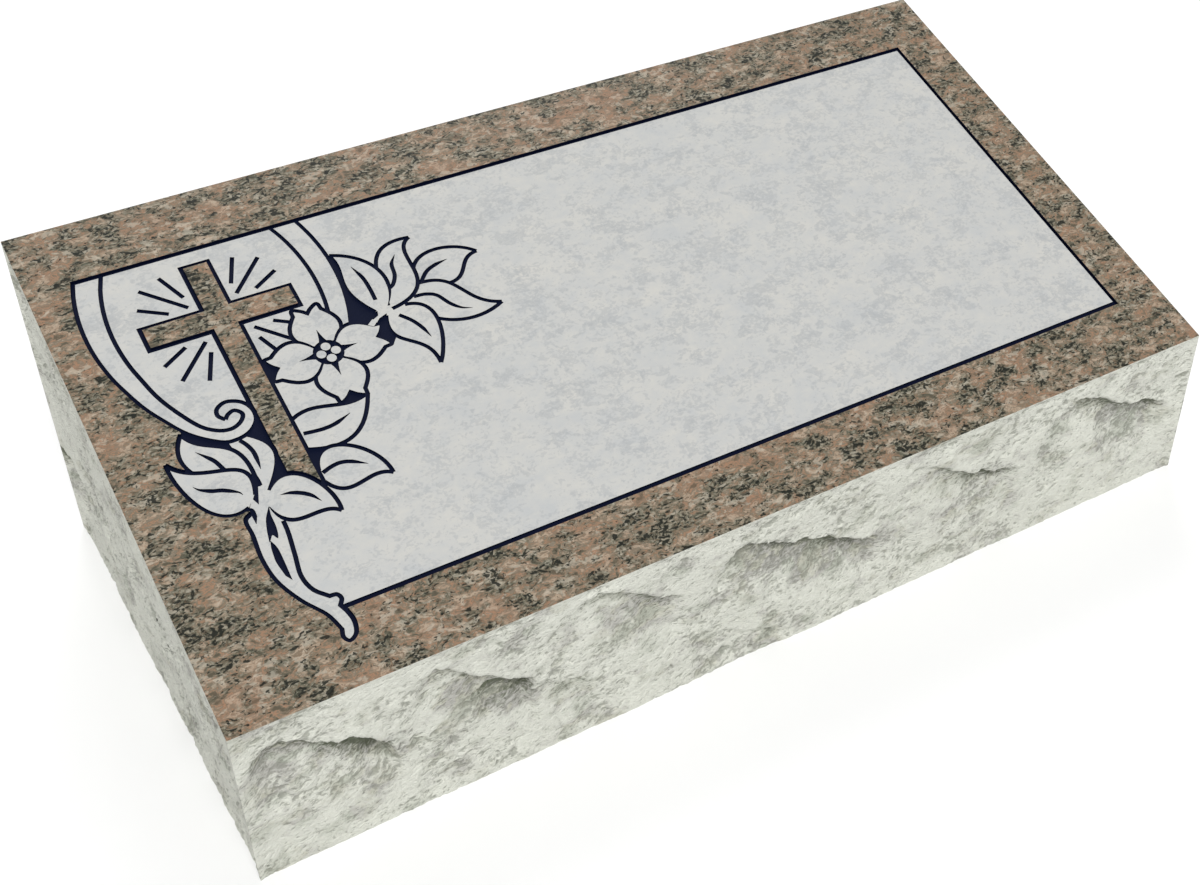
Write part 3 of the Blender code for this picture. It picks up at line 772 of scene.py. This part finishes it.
def fleckGroup():  # flecks that gather in clusters: a mask from 0 to 1
    group, given, result = newGroup(
        "clusteredFlecks",
        {"Vector": (0, 0, 0), "Fleck Scale": 500.0, "Cluster Scale": 60.0, "Amount": 0.5,
         "Gathering": 0.5},
        "Mask", "NodeSocketFloat")
    fine = noiseAt(group, given["Vector"], given["Fleck Scale"], *effects["fleckNoise"])
    broad = noiseAt(group, given["Vector"], given["Cluster Scale"], *effects["broadNoise"])
    gathered = maths(group, "ADD", fine, offMiddle(group, broad, given["Gathering"]))
    amount = maths(group, "SUBTRACT", given["Amount"], 0.5)
    mask = band(group, maths(group, "ADD", gathered, amount), *effects["fleckBand"])
    group.links.new(mask, result)
    return group


def mottleGroup():  # cloudy patches at two sizes, from 0 to 1
    group, given, result = newGroup(
        "mottle",
        {"Vector": (0, 0, 0), "Patch Scale": 40.0, "Fine Scale": 200.0, "Contrast": 2.0},
        "Value", "NodeSocketFloat")
    broad = noiseAt(group, given["Vector"], given["Patch Scale"], *effects["broadNoise"])
    fine = noiseAt(group, given["Vector"], given["Fine Scale"], *effects["fineNoise"])
    both = maths(group, "ADD", maths(group, "MULTIPLY", broad, 0.5),
                 maths(group, "MULTIPLY", fine, 0.5))
    spread = offMiddle(group, both, given["Contrast"])
    group.links.new(maths(group, "ADD", spread, 0.5, True), result)
    return group


shared = {"grainSpace": grainSpaceGroup(), "flecks": fleckGroup(), "mottle": mottleGroup()}


def placeGroup(tree, name, values):
    return addNode(tree, "ShaderNodeGroup", values, node_tree=shared[name]).outputs[0]


# In the looks below a noise is its scale, detail, roughness and distortion, a band is where a
# mask starts and is full, and a share is how strongly it counts.

# polished brown granite: salmon, tan and grey feldspar, a grey-green matrix with black mica,
# cream flecks
polishedLook = {
    "roughness": 0.32,
    "specular": 0.28,
    "space": {"Stretch": (1, 0.62, 0.62), "Wander": 0.009, "Wander Scale": 95.0},
    "bodyNoise": (130.0, 4.0, 0.58, 0.1),
    "streakNoise": (440.0, 3.0, 0.6, 0.1),
    "streakShare": 0.2,
    "body": ((0.36, colour(85, 79, 65)), (0.43, colour(122, 110, 93)),
             (0.47, colour(155, 120, 95)), (0.505, colour(115, 105, 88)),
             (0.54, colour(124, 114, 99)), (0.58, colour(149, 128, 107)),
             (0.63, colour(171, 155, 136)), (0.68, colour(124, 108, 90))),
    "patchNoise": (34.0, 3.0, 0.5),
    "warm": colour(154, 113, 89),
    "warmBand": (0.50, 0.66),
    "warmShare": 0.2,
    "coolShare": 0.42,
    "matrixNoise": (82.0, 4.0, 0.62, 0.1),
    "matrixBand": (0.42, 0.60),
    "matrixShare": 0.75,
    "matrix": ((0.37, colour(37, 40, 32)), (0.44, colour(70, 73, 60)),
               (0.52, colour(97, 97, 83)), (0.62, colour(140, 138, 123))),
    "cream": colour(188, 181, 165),
    "creamFlecks": {"Fleck Scale": 210.0, "Cluster Scale": 70.0, "Amount": 0.40,
                    "Gathering": 0.9},
    "creamShare": 0.42,
    "mica": colour(18, 22, 17),
    "micaNoise": (400.0, 2.0, 0.5),
    "micaGathering": 0.8,
    "micaBand": (0.57, 0.67),
    "micaShare": 0.92,
}


def polishedGranite():
    look = polishedLook
    material, tree, shader = newMaterial("polishedGranite", look)
    space = placeGroup(tree, "grainSpace", look["space"])
    streak = noiseAt(tree, space, *look["streakNoise"])
    body = maths(tree, "ADD", noiseAt(tree, space, *look["bodyNoise"]),
                 offMiddle(tree, streak, look["streakShare"]))
    body = ramp(tree, body, look["body"])
    patch = noiseAt(tree, space, *look["patchNoise"])
    warm = band(tree, patch, *look["warmBand"])
    body = stain(tree, warm, look["warmShare"], body, look["warm"])
    # the matrix keeps away from the warm patches
    cool = maths(tree, "MULTIPLY", maths(tree, "SUBTRACT", 0.5, patch), look["coolShare"])
    matrix = maths(tree, "ADD", noiseAt(tree, space, *look["matrixNoise"]), cool)
    ground = ramp(tree, streak, look["matrix"])
    body = stain(tree, band(tree, matrix, *look["matrixBand"]), look["matrixShare"], body, ground)
    cream = placeGroup(tree, "flecks", {"Vector": space, **look["creamFlecks"]})
    body = stain(tree, cream, look["creamShare"], body, look["cream"])
    mica = maths(tree, "ADD", noiseAt(tree, space, *look["micaNoise"]),
                 offMiddle(tree, matrix, look["micaGathering"]))
    mica = band(tree, mica, *look["micaBand"])
    body = stain(tree, mica, look["micaShare"], body, look["mica"])
    tree.links.new(body, shader.inputs["Base Color"])
    return material


# frosted panel: blasted stone, pale and cloudy
frostedLook = {
    "roughness": 0.75,
    "specular": 0.2,
    "space": {"Stretch": (1, 0.77, 0.77), "Wander": 0.008, "Wander Scale": 70.0},
    "clouds": {"Patch Scale": 34.0, "Fine Scale": 150.0, "Contrast": 3.4},
    "cream": colour(192, 191, 186),
    "pale": colour(180, 182, 182),
    "grey": colour(159, 162, 164),
    "smudges": {"Fleck Scale": 190.0, "Cluster Scale": 42.0, "Amount": 0.43, "Gathering": 1.1},
    "smudgeNoise": (520.0, 5.0, 0.75, 0.5),
    "smudgeBand": (0.3, 0.6),
    "smudgeShare": 0.55,
    "crumbs": {"Fleck Scale": 460.0, "Cluster Scale": 60.0, "Amount": 0.44, "Gathering": 0.9},
    "crumbShare": 0.4,
    "bumpNoise": (1400.0, 3.0),
    "bumpStrength": 0.25,
    "bumpHeight": 0.0003,
}


def frostedPanel():
    look = frostedLook
    material, tree, shader = newMaterial("frostedPanel", look)
    space = placeGroup(tree, "grainSpace", look["space"])
    cloud = placeGroup(tree, "mottle", {"Vector": space, **look["clouds"]})
    body = blend(tree, cloud, look["cream"], look["pale"])
    smudge = placeGroup(tree, "flecks", {"Vector": space, **look["smudges"]})
    fine = band(tree, noiseAt(tree, space, *look["smudgeNoise"]), *look["smudgeBand"])
    smudge = maths(tree, "MULTIPLY", smudge, fine)
    body = stain(tree, smudge, look["smudgeShare"], body, look["grey"])
    crumbs = placeGroup(tree, "flecks", {"Vector": space, **look["crumbs"]})
    body = stain(tree, crumbs, look["crumbShare"], body, look["grey"])
    tree.links.new(body, shader.inputs["Base Color"])
    addBump(tree, shader, noiseAt(tree, space, *look["bumpNoise"]), look)
    return material


# dark blue paint in the lines
paintLook = {
    "roughness": 0.6,
    "specular": 0.1,
    "clouds": {"Patch Scale": 60.0, "Fine Scale": 900.0, "Contrast": 2.0},
    "deep": colour(3, 10, 31),
    "worn": colour(8, 16, 42),
}


def paintedLine():
    look = paintLook
    material, tree, shader = newMaterial("paintedLine", look)
    space = placeGroup(tree, "grainSpace", {})
    cloud = placeGroup(tree, "mottle", {"Vector": space, **look["clouds"]})
    body = blend(tree, cloud, look["deep"], look["worn"])
    tree.links.new(body, shader.inputs["Base Color"])
    return material


# broken sides: pale stone with patches of tint; painted shade darkens the hollows, under the
# ledges, the chips and the dips of the grain
rockLook = {
    "roughness": 0.85,
    "specular": 0.5,
    "space": {"Stretch": (1, 1, 0.6), "Wander": 0.004, "Wander Scale": 90.0},
    "chipSpace": {"Slant": (0, math.radians(-rock["chipSlant"]), 0), "Stretch": (1, 1, 0.42),
                  "Wander": 0.003, "Wander Scale": 120.0},
    "clouds": {"Patch Scale": 30.0, "Fine Scale": 160.0, "Contrast": 2.6},
    "pale": colour(222, 223, 212),
    "clear": colour(208, 209, 199),
    "tintNoise": (38.0, 3.0),
    "tints": ((0.38, colour(138, 142, 124)), (0.45, colour(164, 161, 142)),
              (0.50, colour(146, 141, 140)), (0.56, colour(160, 156, 152)),
              (0.62, colour(158, 163, 148))),
    "patchNoise": (45.0, 5.0, 0.65),
    # how strongly the hollows pull in the darker tints, which there is painted shade
    "hollowShadeShare": 0.32,
    "tintBand": (0.46, 0.72),
    "tintShare": 0.58,
    "grainNoise": (390.0, 3.0, 0.6),
    "strokeShares": (0.6, 1.1, 0.14),  # of the chips, the grain and the tints
    # painted shade in the chips and in the dips of the bumped grain
    "chipShade": colour(112, 114, 102),
    "chipShadeBand": (0.71, 0.90),
    "chipShadeShare": 0.5,
    # painted shade under the ledges: a dark olive laid where the shade attribute is high
    "shade": colour(84, 90, 70),
    "shadeGrain": 0.9,
    "shadeBand": (0.08, 0.50),
    "shadeShare": 0.92,
    "bumpStrength": 1.0,
    "bumpHeight": 0.0019,
}


def brokenRock():
    look = rockLook
    material, tree, shader = newMaterial("brokenRock", look)
    space = placeGroup(tree, "grainSpace", look["space"])
    slanted = placeGroup(tree, "grainSpace", look["chipSpace"])
    cloud = placeGroup(tree, "mottle", {"Vector": space, **look["clouds"]})
    body = blend(tree, cloud, look["pale"], look["clear"])
    names = ("hollow", "shade", "chipped")
    hollow, shade, chipped = (
        addNode(tree, "ShaderNodeAttribute", attribute_name=name).outputs["Fac"] for name in names)
    # tint patches: the stone's own tone at random, plus painted shade where the hollow attribute
    # pushes the darker tints into the hollows
    tint = ramp(tree, noiseAt(tree, space, *look["tintNoise"]), look["tints"])
    tinted = maths(tree, "ADD", noiseAt(tree, space, *look["patchNoise"]),
                   maths(tree, "MULTIPLY", hollow, look["hollowShadeShare"]))
    tinted = band(tree, tinted, *look["tintBand"])
    body = stain(tree, tinted, look["tintShare"], body, tint)
    # painted shade in small slanting strokes: darker where the chips cut deep and where the bumped
    # grain dips
    grain = noiseAt(tree, slanted, *look["grainNoise"])
    ofChips, ofGrain, ofTints = look["strokeShares"]
    stroke = maths(tree, "ADD", maths(tree, "MULTIPLY", chipped, ofChips),
                   maths(tree, "MULTIPLY", grain, ofGrain))
    stroke = maths(tree, "ADD", stroke, maths(tree, "MULTIPLY", tinted, ofTints))
    body = stain(tree, band(tree, stroke, *look["chipShadeBand"]), look["chipShadeShare"], body, look["chipShade"])
    # painted shade under the ledges, broken up by the grain
    under = maths(tree, "ADD", shade, offMiddle(tree, grain, look["shadeGrain"]))
    under = band(tree, under, *look["shadeBand"])
    body = stain(tree, under, look["shadeShare"], body, look["shade"])
    tree.links.new(body, shader.inputs["Base Color"])
    addBump(tree, shader, maths(tree, "SUBTRACT", 1.0, grain), look)
    return material


stone = stoneObject()
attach(stone, "root")
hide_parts("granite_marker")
print("stone in place")

# floor, light and camera
studio = {
    "floorSize": 8.0,
    "floorLook": {"roughness": 0.9, "specular": 0.5},
    "floorClouds": {"Patch Scale": 2.0, "Fine Scale": 40.0, "Contrast": 0.3},
    "floor": colour(252, 252, 252),
    "floorWorn": colour(248, 248, 248),
    "aim": Vector((0, 0, 0.1)),
    "sky": 0.38,
    "backdrop": 1.0,
    "key": {"place": (-2.0, -6.0, 7.75), "power": 810.0, "size": 4.5},
    "fill": {"place": (2.5, 5.5, 5.0), "power": 210.0, "size": 4.5},
}


def buildFloor():
    reach = studio["floorSize"] / 2
    corners = [(-reach, -reach, 0), (reach, -reach, 0), (reach, reach, 0), (-reach, reach, 0)]
    mesh = bpy.data.meshes.new("floor")
    mesh.from_pydata(corners, [], [(0, 1, 2, 3)])
    material, tree, shader = newMaterial("paleFloor", studio["floorLook"])
    space = placeGroup(tree, "grainSpace", {})
    cloud = placeGroup(tree, "mottle", {"Vector": space, **studio["floorClouds"]})
    body = blend(tree, cloud, studio["floor"], studio["floorWorn"])
    tree.links.new(body, shader.inputs["Base Color"])
    mesh.materials.append(material)
    floor = bpy.data.objects.new("floor", mesh)
    bpy.context.scene.collection.objects.link(floor)


def addLamp(name, values):
    lamp = bpy.data.lights.new(name, "AREA")
    lamp.energy = values["power"]
    lamp.size = values["size"]
    holder = bpy.data.objects.new(name, lamp)
    holder.location = values["place"]
    aim = studio["aim"] - holder.location
    holder.rotation_euler = aim.to_track_quat("-Z", "Y").to_euler()
    bpy.context.scene.collection.objects.link(holder)


def lightStudio():
    world = bpy.data.worlds.new("studio")
    world.use_nodes = True
    tree = world.node_tree
    seen = addNode(tree, "ShaderNodeLightPath").outputs["Is Camera Ray"]
    backdrop = maths(tree, "MULTIPLY", seen, studio["backdrop"] - studio["sky"])
    strength = tree.nodes["Background"].inputs["Strength"]
    tree.links.new(maths(tree, "ADD", backdrop, studio["sky"]), strength)
    tree.nodes["Background"].inputs["Color"].default_value = (1, 1, 1, 1)
    bpy.context.scene.world = world
    addLamp("key", studio["key"])
    addLamp("fill", studio["fill"])
    bpy.context.scene.view_settings.view_transform = "Standard"


view = {
    "eye": Vector((-0.39284, -0.67711, 0.66913)),
    "ahead": Vector((0.41996, 0.66890, -0.61336)),
    "roll": 0.398,
    "focalPixels": 1638.64,
    "middle": (683.65, 417.53),
    "image": (1200, 885),
    "sensor": 36,
    "nearest": 0.05,
}


def placeCamera():
    camera = bpy.data.cameras.new("camera")
    wide, high = view["image"]
    camera.sensor_width = view["sensor"]
    camera.lens = view["sensor"] * view["focalPixels"] / wide
    camera.shift_x = (wide / 2 - view["middle"][0]) / wide
    camera.shift_y = (view["middle"][1] - high / 2) / wide
    camera.clip_start = view["nearest"]
    holder = bpy.data.objects.new("camera", camera)
    aim = view["ahead"].to_track_quat("-Z", "Y").to_matrix()
    turned = aim @ Matrix.Rotation(math.radians(view["roll"]), 3, "Z")
    holder.location = view["eye"]
    holder.rotation_euler = turned.to_euler()
    bpy.context.scene.collection.objects.link(holder)
    bpy.context.scene.camera = holder


buildFloor()
lightStudio()
placeCamera()
print("studio ready")
